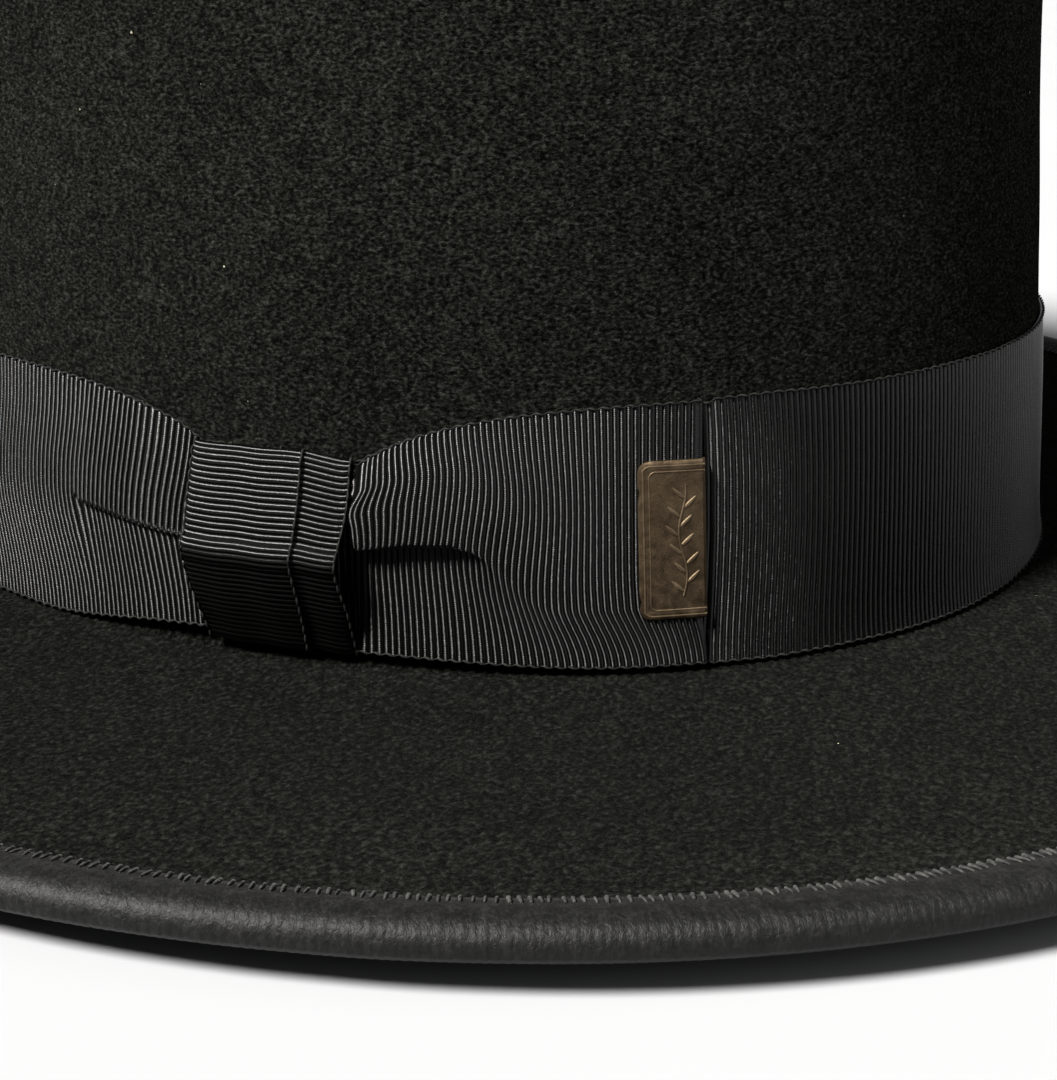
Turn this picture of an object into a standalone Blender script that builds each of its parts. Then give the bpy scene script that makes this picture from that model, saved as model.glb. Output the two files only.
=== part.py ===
"""Felt top hat with a bound brim, a grosgrain band and a flat bow that carries a metal tag.

Frame: millimetres in the constants, metres in Blender. +Z is up, -Y is the front of the hat and
+X is the wearer's left, where the bow sits. The origin is under the crown's centre, on the
plane that the brim rests on.
"""
import math

import bmesh
import bpy

MM = 0.001
GAP = 0.3  # clearance that touching pieces keep

# Head oval and crown. Radial distances are measured outwards from the crown's outer face.
OVAL_LONG = 104.0  # half of the crown's length, front to back
OVAL_WIDE = 83.2  # half of the crown's width
CROWN_TOP = 142.0
CROWN_EDGE = 7.0  # radius where the side turns into the tip
WAIST_HEIGHT = 95.0
WAIST_INSET = 2.7  # the sides draw in by this much at the waist
BELL = 3.0  # and flare out again by this much at the tip
FELT = 2.0
TIP_FLAT = -45.0  # radial distance where the flat middle of the tip starts

# Brim
BRIM_SIDE = 65.5  # width at the sides, binding included
BRIM_FRONT = 61.3  # width at the front and back
BRIM_FLAT = 14.0  # the brim lies flat this far out from the crown
BRIM_RISE = 4.6  # height of the felt's lower face at the edge, before the edge thickens
BRIM_CURVE = 1.5
BRIM_FELT = 2.3
BRIM_EDGE = 3.0  # the felt's thickness at its rounded edge
EDGE_START = 58.0  # radial distance where the felt starts to thicken
EDGE_FULL = 62.0  # and where it has its full thickness
EDGE_ROUND = 1.1  # the edge's corners are cut back by this much
EDGE_FLAT = 0.6  # half of the edge's upright face
BINDING = 0.4
BINDING_WIDTH = 7.9
FELT_EDGE = BRIM_SIDE - BINDING - GAP

# Band and bow, at distances along the oval from the middle of the left side, towards the back
BAND = 0.5
BAND_LOW = 3.1
BAND_HIGH = 38.8
BAND_DIP = 8.6  # the band's upper edge is gathered down by this much under the knot
BAND_LIFT = 2.4  # and its lower edge up by this much
KNOT_FRONT = 10.0
KNOT_BACK = 31.0
KNOT_MIDDLE = (KNOT_FRONT + KNOT_BACK) / 2
LOOP_LENGTH = 45.0  # the part of each loop outside the knot
LOOP_TUCK = 9.0  # the part of each loop inside the knot
LOOP_LOW_IN_KNOT = 5.2
LOOP_HIGH_IN_KNOT = 31.2
LOOP_LOW = 3.4
LOOP_HIGH = 39.2
LOOP_SPREAD = 11.0  # distance over which a loop widens out of the knot
LOOP_OFF = 1.9  # radial distance of a loop's back face
LOOP_THICK = 1.6
LOOP_FULLNESS = 1.6  # how much a loop swells beside the knot
# Small bow inside: its upper edge, left to right, as width and height
INNER_BOW_EDGE = [(-9, 2.6), (-8, 3.4), (-1.6, 1.5), (1.6, 1.5), (8, 3.4), (9, 2.6)]
INNER_BOW_HEIGHT = 12.0
INNER_BOW_THICK = 1.4
INNER_BOW_OFF = 0.8  # from the sweatband
# Outlines of the knot's outer and inner faces: radial distance, height
KNOT_OUTER = [(1.15, 4.2), (4.3, 4.0), (6.2, 10), (7.2, 16.5), (7.2, 19.5), (4.9, 32.6), (1.15, 32.6)]
KNOT_INNER = [(1.5, 4.8), (3.8, 4.8), (4.2, 9), (4.2, 16.5), (4.2, 19.5), (4.1, 31.9), (1.5, 31.9)]
KNOT_ROUNDING = 0.1  # the knot's sides stand this share lower than its middle
TAG_WIDTH = 9.0
TAG_LOW = 11.2
TAG_HIGH = 31.9
TAG_SHEET = 0.45
TAG_LEG = 5.0

# Inside
LINING_OUT = -2.3
LINING = 0.3
LINING_LOW = 8.5
SWEATBAND_OUT = -3.4
SWEATBAND = 1.1
SWEATBAND_LOW = 3.1
SWEATBAND_HIGH = 42.0
REED_RADIAL = -3.6
REED_HEIGHT = 1.6
REED_RADIUS = 0.5
TAPE = 0.3
TAPE_HIGH = 7.5
TICKET_LOW = 24.0
TICKET_HIGH = 50.0

SEGMENTS = 48  # facets round the oval
STEP = math.tau / SEGMENTS
BACK = math.pi / 2  # the angle of the hat's back, where inner seams meet
SEAM = math.radians(0.25)  # half of the gap that a seam leaves


def crown_inset(height):
    """How far the crown's side stands inside the head oval at a height: a waist, then a bell."""
    if height < WAIST_HEIGHT:
        return WAIST_INSET * math.sin(math.pi / 2 * max(height, 0.0) / WAIST_HEIGHT) ** 2
    return WAIST_INSET - BELL * ((height - WAIST_HEIGHT) / (CROWN_TOP - WAIST_HEIGHT)) ** 2


def side(radial, height):
    """A profile point at a radial distance from the crown's outer face."""
    return (radial - crown_inset(height), height)


def place(angle, radial, height):
    """A point on the hat. The brim is narrower at the front and back than at the sides."""
    along = radial * BRIM_FRONT / BRIM_SIDE if radial > 0 else radial
    x = (OVAL_WIDE + radial) * math.cos(angle)
    y = (OVAL_LONG + along) * math.sin(angle)
    return (x * MM, y * MM, height * MM)


def arc_table(steps=3600):
    """Angles and the distance along the head oval from angle 0 to each of them."""
    angles = [math.pi * i / steps for i in range(steps + 1)]
    points = [(OVAL_WIDE * math.cos(a), OVAL_LONG * math.sin(a)) for a in angles]
    lengths = [0.0]
    for p, q in zip(points, points[1:]):
        lengths.append(lengths[-1] + math.dist(p, q))
    return angles, lengths


ARC_ANGLES, ARC_LENGTHS = arc_table()


def angle_at(distance):
    """The angle that lies a distance along the oval from the middle of the left side."""
    low, high = 0, len(ARC_LENGTHS) - 1
    while high - low > 1:
        middle = (low + high) // 2
        if ARC_LENGTHS[middle] < abs(distance):
            low = middle
        else:
            high = middle
    part = (abs(distance) - ARC_LENGTHS[low]) / (ARC_LENGTHS[high] - ARC_LENGTHS[low])
    angle = ARC_ANGLES[low] + part * (ARC_ANGLES[high] - ARC_ANGLES[low])
    return math.copysign(angle, distance)


def distance_at(angle):
    """The distance along the oval at an angle."""
    wrapped = math.remainder(angle, math.tau)
    position = abs(wrapped) / math.pi * (len(ARC_LENGTHS) - 1)
    low = min(int(position), len(ARC_LENGTHS) - 2)
    length = ARC_LENGTHS[low] + (position - low) * (ARC_LENGTHS[low + 1] - ARC_LENGTHS[low])
    return math.copysign(length, wrapped)


def smooth(value):
    """An S-shaped step from 0 to 1."""
    value = min(max(value, 0.0), 1.0)
    return value * value * (3 - 2 * value)


def arc(radial, height, radius, start, end, steps):
    """Profile points on an arc, by angles in degrees from the outward direction."""
    turns = [math.radians(start + (end - start) * i / steps) for i in range(steps + 1)]
    return [(radial + radius * math.cos(a), height + radius * math.sin(a)) for a in turns]


def brim_felt(radial):
    """The brim's thickness, which grows into a rounded edge."""
    return BRIM_FELT + (BRIM_EDGE - BRIM_FELT) * smooth((radial - EDGE_START) / (EDGE_FULL - EDGE_START))


def brim_low(radial):
    """Height of the brim's lower face."""
    reach = max(radial - BRIM_FLAT, 0.0) / (BRIM_SIDE - BRIM_FLAT)
    return BRIM_RISE * reach**BRIM_CURVE - (brim_felt(radial) - BRIM_FELT) / 2


def brim_high(radial):
    """Height of the brim's upper face."""
    return brim_low(radial) + brim_felt(radial)


def make_material(name, colour, roughness, metallic=0.0):
    material = bpy.data.materials.new(name)
    material.use_nodes = True
    shader = material.node_tree.nodes["Principled BSDF"]
    shader.inputs["Base Color"].default_value = (*colour, 1.0)
    shader.inputs["Roughness"].default_value = roughness
    shader.inputs["Metallic"].default_value = metallic
    material.diffuse_color = (*colour, 1.0)
    return material


def finish_mesh(name, mesh, material):
    bmesh.ops.recalc_face_normals(mesh, faces=mesh.faces)
    data = bpy.data.meshes.new(name)
    mesh.to_mesh(data)
    mesh.free()
    data.materials.append(material)
    data.shade_smooth()
    data.set_sharp_from_angle(angle=math.radians(35))
    piece = bpy.data.objects.new(name, data)
    bpy.context.scene.collection.objects.link(piece)
    return piece


def bridge(mesh, first, second, closed=True):
    """Faces between two rows of vertices."""
    count = len(first)
    for i in range(count if closed else count - 1):
        j = (i + 1) % count
        mesh.faces.new((first[i], first[j], second[j], second[i]))


def turned(name, profile, material):
    """A profile carried all the way round the oval. Its two ends are closed with flat caps."""
    mesh = bmesh.new()
    rows = []
    for point in profile:
        rows.append([mesh.verts.new(place(i * STEP, *point)) for i in range(SEGMENTS)])
    for first, second in zip(rows, rows[1:]):
        bridge(mesh, first, second)
    mesh.faces.new(rows[0])
    mesh.faces.new(rows[-1])
    return finish_mesh(name, mesh, material)


def lofted(name, angles, section, material):
    """A closed section carried along a list of angles, with a cap at each end."""
    mesh = bmesh.new()
    rows = [[mesh.verts.new(place(a, *point)) for point in section(a)] for a in angles]
    for first, second in zip(rows, rows[1:]):
        bridge(mesh, first, second)
    mesh.faces.new(rows[0])
    mesh.faces.new(rows[-1])
    return finish_mesh(name, mesh, material)


def round_angles(seam):
    """The oval's facet angles once round, from just after a seam to just before it."""
    start, end = seam + SEAM, seam + math.tau - SEAM
    first, last = math.ceil(start / STEP), math.floor(end / STEP)
    inner = [i * STEP for i in range(first, last + 1)]
    inner = [a for a in inner if min(a - start, end - a) > STEP / 8]
    return [start, *inner, end]


def strip(name, section, seam, material):
    """A strip whose section stays the same round the oval and whose ends meet at a seam."""
    return lofted(name, round_angles(seam), lambda _angle: section, material)


def sheet_section(outer, thickness, heights):
    """The section of a strip that stands against the crown's side."""
    up = [side(outer, height) for height in heights]
    down = [side(outer - thickness, height) for height in reversed(heights)]
    return up + down


def make_felt_body(material):
    """Crown and brim, blocked from one felt hood."""
    corner = CROWN_EDGE + crown_inset(CROWN_TOP - CROWN_EDGE)
    edge_middle = brim_low(FELT_EDGE) + BRIM_EDGE / 2
    wall = [CROWN_TOP - CROWN_EDGE - 10, 110, WAIST_HEIGHT, 75, 55, 35, 15, BRIM_FELT + 0.9]
    brim = [BRIM_FLAT, 30, 44, EDGE_START, EDGE_FULL, FELT_EDGE - EDGE_ROUND]
    profile = [(TIP_FLAT, CROWN_TOP)]
    profile += arc(-corner, CROWN_TOP - CROWN_EDGE, CROWN_EDGE, 90, 0, 4)
    profile += [side(0, height) for height in wall]
    profile += [(0.9, BRIM_FELT)]
    profile += [(r, brim_high(r)) for r in brim]
    profile += [(FELT_EDGE, edge_middle + EDGE_FLAT), (FELT_EDGE, edge_middle - EDGE_FLAT)]
    profile += [(r, brim_low(r)) for r in reversed(brim)]
    profile += [(0.4, 0.0), (-1.4, 0.6), (-FELT, 2.2)]
    profile += [side(-FELT, height) for height in reversed(wall[:-1])]
    profile += arc(-corner, CROWN_TOP - CROWN_EDGE, CROWN_EDGE - FELT, 0, 90, 3)
    profile += [(TIP_FLAT, CROWN_TOP - FELT)]
    return turned("felt_body", profile, material)


def make_brim_binding(material):
    """Ribbon folded over the brim's edge, sewn through close to both selvedges."""
    legs = [BRIM_SIDE - BINDING_WIDTH, EDGE_START, EDGE_FULL, FELT_EDGE - EDGE_ROUND + 0.1]
    middle = brim_low(FELT_EDGE) + BRIM_EDGE / 2

    def leaf(gap):
        over = [(r, brim_high(r) + gap) for r in legs]
        half = EDGE_FLAT + 0.1
        tip = [(FELT_EDGE + gap, middle + half), (FELT_EDGE + gap, middle - half)]
        return over + tip + [(r, brim_low(r) - gap) for r in reversed(legs)]

    section = leaf(GAP + BINDING) + list(reversed(leaf(GAP)))
    return strip("brim_binding", section, BACK, material)


def band_section(distance):
    """The band's section: upright, and gathered under the knot like the loops."""
    reach = max(KNOT_FRONT - distance, distance - KNOT_BACK, 0.0)
    gather = math.exp(-reach / LOOP_SPREAD)
    low = BAND_LOW + BAND_LIFT * gather
    high = BAND_HIGH - BAND_DIP * gather
    heights = [low, (low + high) / 2, high]
    return sheet_section(GAP + BAND, BAND, heights)


def make_hat_band(material):
    """Grosgrain band whose ends meet under the knot."""
    seam = angle_at(KNOT_MIDDLE)
    near = [3, 7, 12.5, 16, 20, 25, 32, 42, 54]
    angles = round_angles(seam)
    angles += [angle_at(KNOT_MIDDLE + distance) for distance in near]
    angles += [math.tau + angle_at(KNOT_MIDDLE - distance) for distance in near]
    return lofted("hat_band", sorted(angles), lambda angle: band_section(distance_at(angle)), material)


def loop_section(reach):
    """The bow loop's section: reach is the distance from the knot's edge, negative inside it."""
    spread = 1 - math.exp(-max(reach, 0.0) / LOOP_SPREAD)
    low = LOOP_LOW_IN_KNOT + (LOOP_LOW - LOOP_LOW_IN_KNOT) * spread
    high = LOOP_HIGH_IN_KNOT + (LOOP_HIGH - LOOP_HIGH_IN_KNOT) * spread
    fullness = smooth((reach - 0.5) / 5) * (1 - smooth((reach - 5) / 25))
    back = LOOP_OFF
    front = back + LOOP_THICK + LOOP_FULLNESS * fullness
    soft = 0.5
    outline = [(back, low + soft), (back + soft, low), (front - soft, low)]
    outline += [(front, low + 2.5), (front, high - 2.5)]
    outline += [(front - soft, high), (back + soft, high), (back, high - soft)]
    return [side(radial, height) for radial, height in outline]


def make_loop(name, knot_edge, direction, material):
    """One gathered loop of the bow, from inside the knot to its folded end."""
    count = 16
    length = LOOP_LENGTH + LOOP_TUCK
    reaches = [length * i / count - LOOP_TUCK for i in range(count + 1)]
    angles = [angle_at(knot_edge + direction * reach) for reach in reaches]
    sections = dict(zip(angles, (loop_section(reach) for reach in reaches)))
    return lofted(name, angles, lambda angle: sections[angle], material)


def make_knot(material):
    """The knot: a ribbon sleeve that both loops run into, with a crest at its middle."""
    mesh = bmesh.new()
    outer_rows, inner_rows = [], []
    count = 8
    for i in range(count + 1):
        across = 2 * i / count - 1
        angle = angle_at(KNOT_MIDDLE + across * (KNOT_BACK - KNOT_FRONT) / 2)
        crown = 1.0 - KNOT_ROUNDING * across**2
        rows = ((outer_rows, KNOT_OUTER, crown), (inner_rows, KNOT_INNER, 1.0))
        for found, points, scale in rows:
            made = [place(angle, *side(radial * scale, height)) for radial, height in points]
            found.append([mesh.verts.new(point) for point in made])
    for rows in (outer_rows, inner_rows):
        for first, second in zip(rows, rows[1:]):
            bridge(mesh, first, second)
    for end in (0, -1):
        bridge(mesh, outer_rows[end], inner_rows[end])
    return finish_mesh("bow_knot", mesh, material)


def make_metal_tag(material):
    """A plate that folds round the end of the rear loop and grips it from behind."""
    loop_end = KNOT_BACK + LOOP_LENGTH
    face = LOOP_OFF + LOOP_THICK + GAP + 0.1
    turn = loop_end + GAP
    stations = [loop_end + GAP + TAG_SHEET - TAG_WIDTH, loop_end - TAG_LEG, turn, turn + TAG_SHEET]
    mesh = bmesh.new()
    leg = BAND + 2 * GAP + 0.1
    path = [
        (stations[0], face),
        (stations[2], face),
        (stations[2], leg + TAG_SHEET),
        (stations[1], leg + TAG_SHEET),
        (stations[1], leg),
        (stations[3], leg),
        (stations[3], face + TAG_SHEET),
        (stations[0], face + TAG_SHEET),
    ]
    rows = []
    for height in (TAG_LOW, TAG_HIGH):
        points = [place(angle_at(s), *side(radial, height)) for s, radial in path]
        rows.append([mesh.verts.new(point) for point in points])
    bridge(mesh, rows[0], rows[1])
    mesh.faces.new(rows[0])
    mesh.faces.new(rows[1])
    return finish_mesh("metal_tag", mesh, material)


def make_sweatband(material):
    """Leather band that stands inside the crown and meets at the back."""
    section = sheet_section(SWEATBAND_OUT, SWEATBAND, [SWEATBAND_LOW, 14, 28, SWEATBAND_HIGH])
    return strip("sweatband", section, BACK, material)


def make_reed(material):
    """Round reed that holds the sweatband's lower edge to the head oval."""
    section = arc(REED_RADIAL, REED_HEIGHT, REED_RADIUS, 0, 300, 5)
    return strip("sweatband_reed", section, BACK, material)


def make_reed_tape(material):
    """Tape folded round the reed, with a flange that is sewn between leather and felt."""
    inner = REED_RADIUS + GAP
    outer = inner + TAPE
    flange = REED_RADIAL + outer * math.cos(math.radians(50))
    section = arc(REED_RADIAL, REED_HEIGHT, outer, 130, 410, 5)
    section += [(flange + 0.1, TAPE_HIGH), (flange + 0.1 - TAPE, TAPE_HIGH)]
    section += arc(REED_RADIAL, REED_HEIGHT, inner, 410, 130, 5)
    return strip("reed_tape", section, BACK, material)


def make_sweatband_bow(material):
    """Small ribbon bow inside, at the back, over the joint of the sweatband."""
    outline = INNER_BOW_EDGE + [(-x, -z) for x, z in INNER_BOW_EDGE]
    height = INNER_BOW_HEIGHT
    near = OVAL_LONG + SWEATBAND_OUT - SWEATBAND - crown_inset(height) - INNER_BOW_OFF
    mesh = bmesh.new()
    rows = []
    for depth in (near, near - INNER_BOW_THICK):
        points = [(x * MM, depth * MM, (height + z) * MM) for x, z in outline]
        rows.append([mesh.verts.new(point) for point in points])
    bridge(mesh, rows[0], rows[1])
    mesh.faces.new(rows[0])
    mesh.faces.new(rows[1])
    return finish_mesh("sweatband_bow", mesh, material)


def make_lining_side(material):
    """Satin side panel, from behind the sweatband up to the tip."""
    corner = CROWN_EDGE + crown_inset(CROWN_TOP - CROWN_EDGE)
    centre = CROWN_TOP - CROWN_EDGE
    heights = [LINING_LOW, 30, 55, 75, WAIST_HEIGHT, 115, centre]
    radius = CROWN_EDGE + LINING_OUT
    section = [side(LINING_OUT, height) for height in heights[:-1]]
    section += arc(-corner, centre, radius, 0, 40, 2)
    section += arc(-corner, centre, radius - LINING, 40, 0, 2)
    section += [side(LINING_OUT - LINING, height) for height in reversed(heights[:-1])]
    return strip("lining_side", section, BACK, material)


def make_lining_tip(material):
    """Oval satin panel under the crown's tip."""
    high = CROWN_TOP - FELT - 0.7
    return turned("lining_tip", [(TIP_FLAT, high), (-5.6, high), (-5.6, high - LINING),
                                 (TIP_FLAT, high - LINING)], material)


def make_size_ticket(material):
    """Paper ticket tucked between the sweatband and the lining."""
    outer = LINING_OUT - LINING - GAP
    section = sheet_section(outer, 0.2, [TICKET_LOW, 36, TICKET_HIGH])
    angles = [8 * STEP, 9 * STEP, 10 * STEP]
    return lofted("size_ticket", angles, lambda _angle: section, material)


def main():
    for thing in list(bpy.data.objects):
        bpy.data.objects.remove(thing, do_unlink=True)
    felt = make_material("felt", (0.012, 0.012, 0.010), 0.95)
    ribbon = make_material("grosgrain", (0.016, 0.016, 0.015), 0.6)
    brass = make_material("antique_brass", (0.10, 0.075, 0.045), 0.45, 0.9)
    leather = make_material("leather", (0.045, 0.025, 0.015), 0.5)
    satin = make_material("satin", (0.02, 0.02, 0.022), 0.35)
    reed = make_material("reed_plastic", (0.5, 0.48, 0.42), 0.4)
    cotton = make_material("cotton_tape", (0.03, 0.03, 0.03), 0.9)
    paper = make_material("paper", (0.75, 0.72, 0.64), 0.9)

    make_felt_body(felt)
    make_brim_binding(ribbon)
    make_hat_band(ribbon)
    make_loop("bow_front_loop", KNOT_FRONT, -1, ribbon)
    make_loop("bow_rear_loop", KNOT_BACK, 1, ribbon)
    make_knot(ribbon)
    make_metal_tag(brass)
    make_sweatband(leather)
    make_reed(reed)
    make_reed_tape(cotton)
    make_sweatband_bow(satin)
    make_lining_side(satin)
    make_lining_tip(satin)
    make_size_ticket(paper)


main()
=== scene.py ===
"""Looks of a felt top hat: brushed felt, ribbed grosgrain, a brass tag, leather and satin inside.

Lengths are in millimetres until a mesh is made. s is the distance along the head oval, from the
middle of the left side (+X) towards the back (+Y). off is the distance out of the crown's face.
"""

import math

import bmesh
import bpy
import numpy as np
from mathutils import Matrix, Vector


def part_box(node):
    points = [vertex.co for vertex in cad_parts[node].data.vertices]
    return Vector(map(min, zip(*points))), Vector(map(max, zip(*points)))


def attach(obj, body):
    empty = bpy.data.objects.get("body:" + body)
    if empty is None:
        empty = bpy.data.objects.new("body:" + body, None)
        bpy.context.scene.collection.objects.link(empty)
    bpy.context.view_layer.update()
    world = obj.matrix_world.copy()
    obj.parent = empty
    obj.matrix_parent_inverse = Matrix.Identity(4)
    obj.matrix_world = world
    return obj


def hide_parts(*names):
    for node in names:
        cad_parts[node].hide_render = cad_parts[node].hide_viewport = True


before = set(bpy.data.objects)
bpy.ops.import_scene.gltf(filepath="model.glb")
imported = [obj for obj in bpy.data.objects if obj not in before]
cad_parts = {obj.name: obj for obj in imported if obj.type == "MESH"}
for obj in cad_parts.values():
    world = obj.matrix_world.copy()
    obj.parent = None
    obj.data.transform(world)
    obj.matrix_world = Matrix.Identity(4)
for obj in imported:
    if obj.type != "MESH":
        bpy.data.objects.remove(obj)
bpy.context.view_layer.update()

MM = 0.001


def box(node):
    low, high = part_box(node)
    return np.array(low) / MM, np.array(high) / MM


# Crown and brim, from the frame
BAND_FACE = 0.8  # the CAD band's outer face stands this far out of the crown
BAND_LOW, BAND_HIGH = box("hat_band")[0][2], box("hat_band")[1][2]
OVAL_WIDE = round(box("hat_band")[1][0] - BAND_FACE, 1)
OVAL_LONG = round(box("hat_band")[1][1] - BAND_FACE, 1)
CROWN_TOP = box("felt_body")[1][2]
BRIM_SIDE = round(box("brim_binding")[1][0] - OVAL_WIDE, 1)
BRIM_FRONT = round(box("brim_binding")[1][1] - OVAL_LONG, 1)
CROWN_EDGE = 7.0  # radius
WAIST_HEIGHT, WAIST_INSET = 95.0, 2.7
BELL = 3.0  # the crown's top stands this far out of its waist
FELT = 2.0
TIP_FLAT = -45.0  # the tip's middle part is a shrunken copy of the oval this far in

BRIM_FLAT = 14.0  # the brim rises from this radial distance on
BRIM_RISE, BRIM_CURVE = 4.6, 1.5  # height and power
BRIM_FELT, BRIM_EDGE, EDGE_START = 2.3, 3.0, 58.0  # thickness, and where it grows
BEAD = 63.3  # radial distance of the middle of the rounded edge
BEAD_RADIUS = 2.05
BINDING_INNER = 57.6  # radial distance of the binding's selvedges
STROKE_PITCH = 1.05  # threads along the upper selvedge

# Grosgrain
RIB = 0.85  # pitch of the ribs
KNOT_RIB = 0.80
RIB_TURN = math.radians(56)  # the ribs' flanks are this steep where they meet
TIGHT_TURN = math.radians(50)  # and this steep where the ribbon is pulled tight round the knot
EDGE_RIB = 1.0  # pitch of the binding's ribs
VALLEY_SHARE = 0.15  # the part of a rib, from its valley, that is painted as shade because it lies too deep to shine
BAND_VALLEY_SHARE = 0.09  # the same on the band, which is stretched flatter
THREAD_PITCH = 0.24  # warp threads that run over the ribs
SHARP = 75.0  # valleys between ribs are sharper than this

# Bow
KNOT_FRONT, KNOT_BACK = 8.7, 31.0
LOOP_LENGTH = 45.1
LOOP_OFF = 1.42  # lift of a loop where it lies flat
BACK_OFF = 0.85  # lift of its back layer
TUCK = 5.0  # length of a loop inside the knot
# How a loop's fullness is spread from its lower edge to its upper one
HUMP_AT = [0.0, 0.25, 0.45, 0.62, 0.80, 1.0]
HUMP = [0.0, 0.05, 0.45, 1.0, 0.85, 0.0]
TAG_LOW, TAG_HIGH = 9.8, 31.1
TAG_WIDE = 8.9
TAG_LEAN = -0.022  # sideways shift of the tag for each millimetre of height
TAG_FOLD = 0.45  # the tag's fold lies this far past the loop's end

# Inside
REED_RADIAL, REED_HEIGHT = -3.6, 1.6

# Light and camera, in degrees and metres. The camera is fitted to the photograph.
FLAG = 15  # azimuth of the dark flag
CAMERA_AZIMUTH, CAMERA_ELEVATION, CAMERA_ROLL = 28.22, 11.18, -0.911
CAMERA_DISTANCE, CAMERA_AIM = 0.2895, (0, 0, 0.040)
CAMERA_LENS, CAMERA_SHIFT = 53.58, (0.0906, -0.2592)


def between(value, start, end):
    """An S-shaped step from 0 at start to 1 at end."""
    share = np.clip((np.asarray(value, float) - start) / (end - start), 0.0, 1.0)
    return share * share * (3 - 2 * share)


def mix(a, b, share):
    return a + (b - a) * share


def peak(value, middle, width):
    """A bell-shaped bump."""
    return np.exp(-(((value - middle) / width) ** 2))


def crown_inset(z):
    """How far the crown's side stands inside the head oval at a height."""
    z = np.asarray(z, float)
    waist = WAIST_INSET * np.sin(math.pi / 2 * np.clip(z, 0, WAIST_HEIGHT) / WAIST_HEIGHT) ** 2
    return waist - BELL * (np.clip(z - WAIST_HEIGHT, 0, None) / (CROWN_TOP - WAIST_HEIGHT)) ** 2


# The crown's edge is an arc of this height and distance inside the oval
SHOULDER_HIGH = CROWN_TOP - CROWN_EDGE
SHOULDER_IN = -CROWN_EDGE - float(crown_inset(SHOULDER_HIGH))


def place(angle, radial, z):
    """Points of the hat, where radial is measured from the head oval."""
    angle, radial, z = np.broadcast_arrays(*(np.asarray(a, float) for a in (angle, radial, z)))
    along = np.where(radial > 0, radial * BRIM_FRONT / BRIM_SIDE, radial)
    x = (OVAL_WIDE + radial) * np.cos(angle)
    y = (OVAL_LONG + along) * np.sin(angle)
    return np.stack([x, y, z], -1)


def distances(points):
    """Distance of each of a polyline's points from its start."""
    return np.concatenate([[0.0], np.cumsum(np.linalg.norm(np.diff(points, axis=0), axis=1))])


def read_at(wanted, positions, rows):
    """Rows of numbers, interpolated at the wanted positions."""
    return np.stack([np.interp(wanted, positions, column) for column in rows.T], -1)


def respaced(points, count):
    """Points spread evenly along a polyline."""
    points = np.asarray(points, float)
    length = distances(points)
    return read_at(np.linspace(0, length[-1], count), length, points)


ARC_ANGLES = np.linspace(-math.pi, math.pi, 7201)
ARC_LENGTHS = distances(place(ARC_ANGLES, 0.0, 0.0))
PERIMETER = ARC_LENGTHS[-1]
ARC_LENGTHS = ARC_LENGTHS - PERIMETER / 2


def wrapped(s):
    """The same place on the oval, at most half a turn from its start."""
    return (s + PERIMETER / 2) % PERIMETER - PERIMETER / 2


def angle_at(s):
    """The oval's angle at a distance along it."""
    turns = np.round((s - wrapped(s)) / PERIMETER)
    return np.interp(wrapped(s), ARC_LENGTHS, ARC_ANGLES) + turns * math.tau


def on_crown(s, off, z):
    """Points at a distance out of the crown's face."""
    return place(angle_at(s), off - crown_inset(z), z)


def brim_felt(radial):
    return BRIM_FELT + (BRIM_EDGE - BRIM_FELT) * between(radial, EDGE_START, EDGE_START + 4)


def brim_low(radial):
    reach = np.clip(radial - BRIM_FLAT, 0, None) / (BRIM_SIDE - BRIM_FLAT)
    return BRIM_RISE * reach**BRIM_CURVE - (brim_felt(radial) - BRIM_FELT) / 2


def brim_high(radial):
    return brim_low(radial) + brim_felt(radial)


BEAD_HEIGHT = float(brim_low(np.array(BEAD)) + BRIM_EDGE / 2)


def turn(centre_radial, centre_z, radius, start, end, count):
    """Points of an arc in a section, from one angle to another in degrees."""
    angles = np.radians(np.linspace(start, end, count))
    return np.stack([np.cos(angles), np.sin(angles)], -1) * radius + (centre_radial, centre_z)


def curve_through(points, share):
    """Catmull-Rom curve through points (n, ..., k), read at shares from 0 to 1."""
    points = np.asarray(points, float)
    last = len(points) - 1
    position = np.clip(np.asarray(share, float), 0, 1) * last
    index = np.minimum(position.astype(int), last - 1)
    t = position - index
    p0, p1 = points[np.maximum(index - 1, 0)], points[index]
    p2, p3 = points[index + 1], points[np.minimum(index + 2, last)]
    t = t.reshape(t.shape + (1,) * (p1.ndim - t.ndim))
    square, cube = 2 * p0 - 5 * p1 + 4 * p2 - p3, 3 * p1 - p0 - 3 * p2 + p3
    return 0.5 * (2 * p1 + (p2 - p0) * t + square * t**2 + cube * t**3)


def link(name, data):
    """A new object in the scene."""
    made = bpy.data.objects.new(name, data)
    bpy.context.scene.collection.objects.link(made)
    return made


# Meshes


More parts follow.
